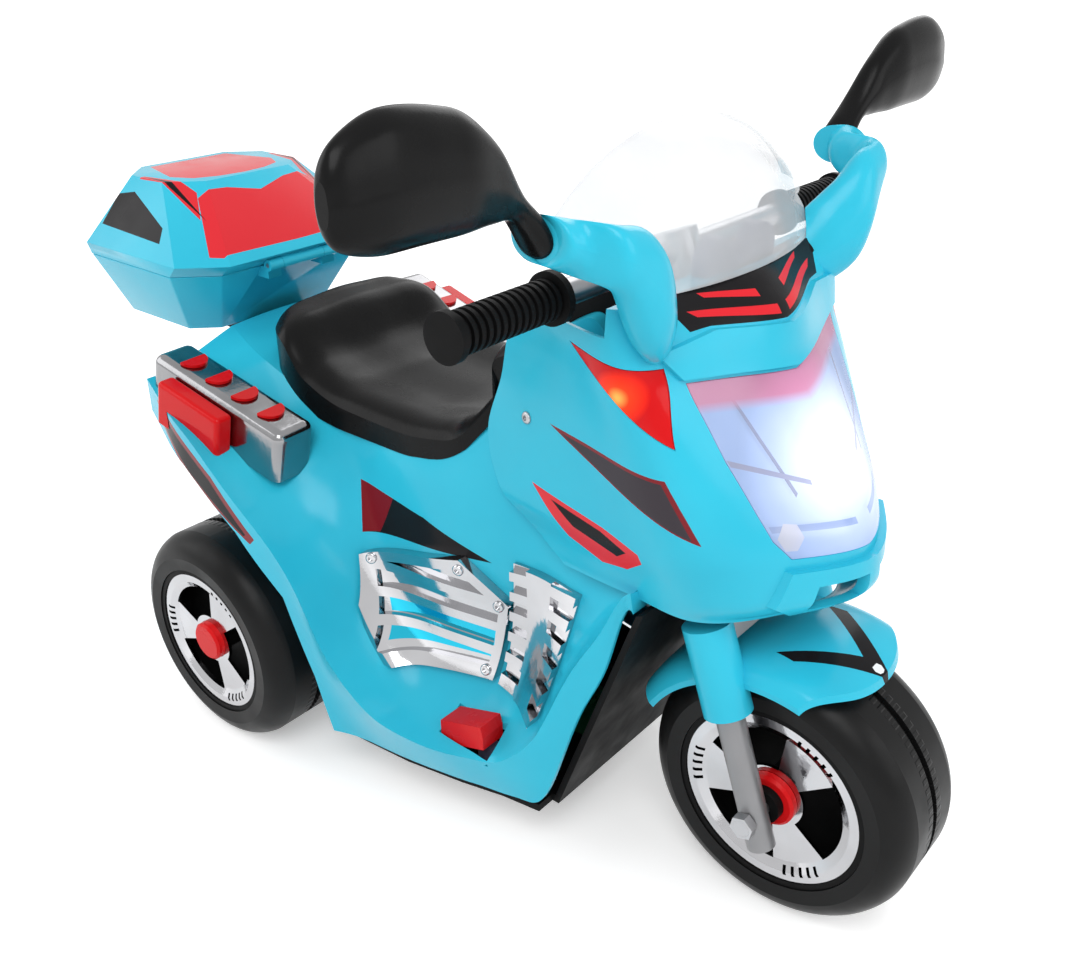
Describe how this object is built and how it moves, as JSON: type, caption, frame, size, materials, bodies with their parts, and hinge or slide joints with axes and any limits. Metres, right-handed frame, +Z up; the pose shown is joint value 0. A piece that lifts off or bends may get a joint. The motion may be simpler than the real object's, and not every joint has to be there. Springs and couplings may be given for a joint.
{
  "type": "kids electric motorbike",
  "caption": "Child's battery ride-on motorbike on a steered front wheel and a rear pair, with fairing, mirrors, seat, pedal drive, lamps and a lidded top box.",
  "frame": {"origin": "on the ground under the middle of the whole box", "axes": "+X forward, +Y to the rider's left, +Z up"},
  "size_m": [0.804, 0.616, 0.583],
  "materials": {
    "turquoise": "gloss moulded shell",
    "black_gloss": "gloss moulded",
    "black_matte": "matte moulded",
    "black_grip": "ribbed grip",
    "black_tyre": "hard plastic tread",
    "chrome": "bright plated plastic",
    "red": "gloss red",
    "red_lens": "clear red lens",
    "clear": "clear moulded",
    "clear_lamp": "clear lamp lens",
    "mirror": "mirror film",
    "grey_metal": "grey painted tube",
    "steel": "plain steel",
    "white_nylon": "moulded nylon",
    "green_board": "circuit board",
    "grey_plastic": "moulded casing"
  },
  "bodies": {
    "body": {"main_shell": "turquoise", "chassis": "black_matte", "floor_screws": "steel", "fairing": "turquoise", "headlight_lens": "clear_lamp", "headlight_reflector": "chrome", "headlight_bulbs": "clear_lamp", "windscreen": "clear", "gauge_cluster": "grey_plastic", "indicator_lenses": "red_lens", "mirror_housing_right": "black_gloss", "mirror_housing_left": "black_gloss", "mirror_glasses": "mirror", "seat": "black_gloss", "crankcase_trims": "chrome", "cylinder_trims": "chrome", "tail_housing_left": "chrome", "tail_housing_right": "chrome", "tail_lenses": "red_lens", "rack": "black_matte", "box_base": "turquoise", "hinge_pins": "steel", "head_tube": "black_matte", "steering_bushes": "white_nylon", "rear_axle": "steel", "gearbox": "black_matte", "gearbox_cover": "black_matte", "motor": "steel", "battery": "grey_plastic", "control_board": "green_board", "speaker": "black_matte", "charge_socket": "black_matte", "pedal_microswitch": "grey_plastic", "dash_panel": "black_matte"},
    "steering": {"fork": "grey_metal", "front_axle": "steel", "front_fender": "turquoise", "handlebar": "steel", "grips": "black_grip"},
    "front_wheel": {"front_tyre": "black_tyre", "front_wheel_core": "black_matte", "front_wheel_covers": "chrome", "front_hub_caps": "red"},
    "rear_wheel_right": {"rear_tyre_right": "black_tyre", "rear_wheel_core_right": "black_matte", "rear_wheel_cover_right": "chrome", "rear_hub_cap_right": "red", "output_gear": "white_nylon"},
    "rear_wheel_left": {"rear_tyre_left": "black_tyre", "rear_wheel_core_left": "black_matte", "rear_wheel_cover_left": "chrome", "rear_hub_cap_left": "red"},
    "middle_gear": {"middle_gear": "white_nylon"},
    "motor_pinion": {"motor_pinion": "steel"},
    "box_lid": {"box_lid": "turquoise"},
    "pedal": {"pedal": "red"},
    "power_rocker": {"power_rocker": "red"},
    "direction_rocker": {"direction_rocker": "black_gloss"},
    "horn_button": {"horn_button": "red"},
    "music_button": {"music_button": "red"}
  },
  "joints": [
    {"name": "steering_turn", "type": "hinge", "parent": "body", "child": "steering", "pos_m": [0.301, 0, 0.101], "axis": [-0.3256, 0, 0.9455], "range_deg": [-12, 12]},
    {"name": "front_wheel_spin", "type": "hinge", "parent": "steering", "child": "front_wheel", "pos_m": [0.301, 0, 0.101], "axis": [0, 1, 0], "continuous": true},
    {"name": "rear_wheel_right_spin", "type": "hinge", "parent": "body", "child": "rear_wheel_right", "pos_m": [-0.169, -0.131, 0.096], "axis": [0, 1, 0], "continuous": true},
    {"name": "rear_wheel_left_spin", "type": "hinge", "parent": "body", "child": "rear_wheel_left", "pos_m": [-0.169, 0.131, 0.096], "axis": [0, 1, 0], "continuous": true},
    {"name": "middle_gear_spin", "type": "hinge", "parent": "body", "child": "middle_gear", "pos_m": [-0.14783, -0.05, 0.13582], "axis": [0, 1, 0], "continuous": true},
    {"name": "motor_pinion_spin", "type": "hinge", "parent": "body", "child": "motor_pinion", "pos_m": [-0.12665, -0.048, 0.17564], "axis": [0, 1, 0], "continuous": true},
    {"name": "box_lid_hinge", "type": "hinge", "parent": "body", "child": "box_lid", "pos_m": [-0.211, 0, 0.3875], "axis": [0, 1, 0], "range_deg": [0, 70]},
    {"name": "pedal_hinge", "type": "hinge", "parent": "body", "child": "pedal", "pos_m": [0.071, -0.117, 0.084], "axis": [0, 1, 0], "range_deg": [0, 8], "stiffness_Nm_per_rad": 1},
    {"name": "power_rocker_tilt", "type": "hinge", "parent": "body", "child": "power_rocker", "pos_m": [0.1378, -0.026, 0.42817], "axis": [0, 1, 0], "range_deg": [-7, 7]},
    {"name": "direction_rocker_tilt", "type": "hinge", "parent": "body", "child": "direction_rocker", "pos_m": [0.1378, 0.026, 0.42817], "axis": [0, 1, 0], "range_deg": [-7, 7]},
    {"name": "horn_button_press", "type": "slide", "parent": "body", "child": "horn_button", "axis": [0.3987, 0, -0.9171], "range_m": [0, 0.002], "stiffness_N_per_m": 300},
    {"name": "music_button_press", "type": "slide", "parent": "body", "child": "music_button", "axis": [0.3987, 0, -0.9171], "range_m": [0, 0.002], "stiffness_N_per_m": 300}
  ],
  "couplings": [
    {"joint": "middle_gear_spin", "follows": "rear_wheel_right_spin", "ratio": -4},
    {"joint": "motor_pinion_spin", "follows": "rear_wheel_right_spin", "ratio": 16}
  ]
}
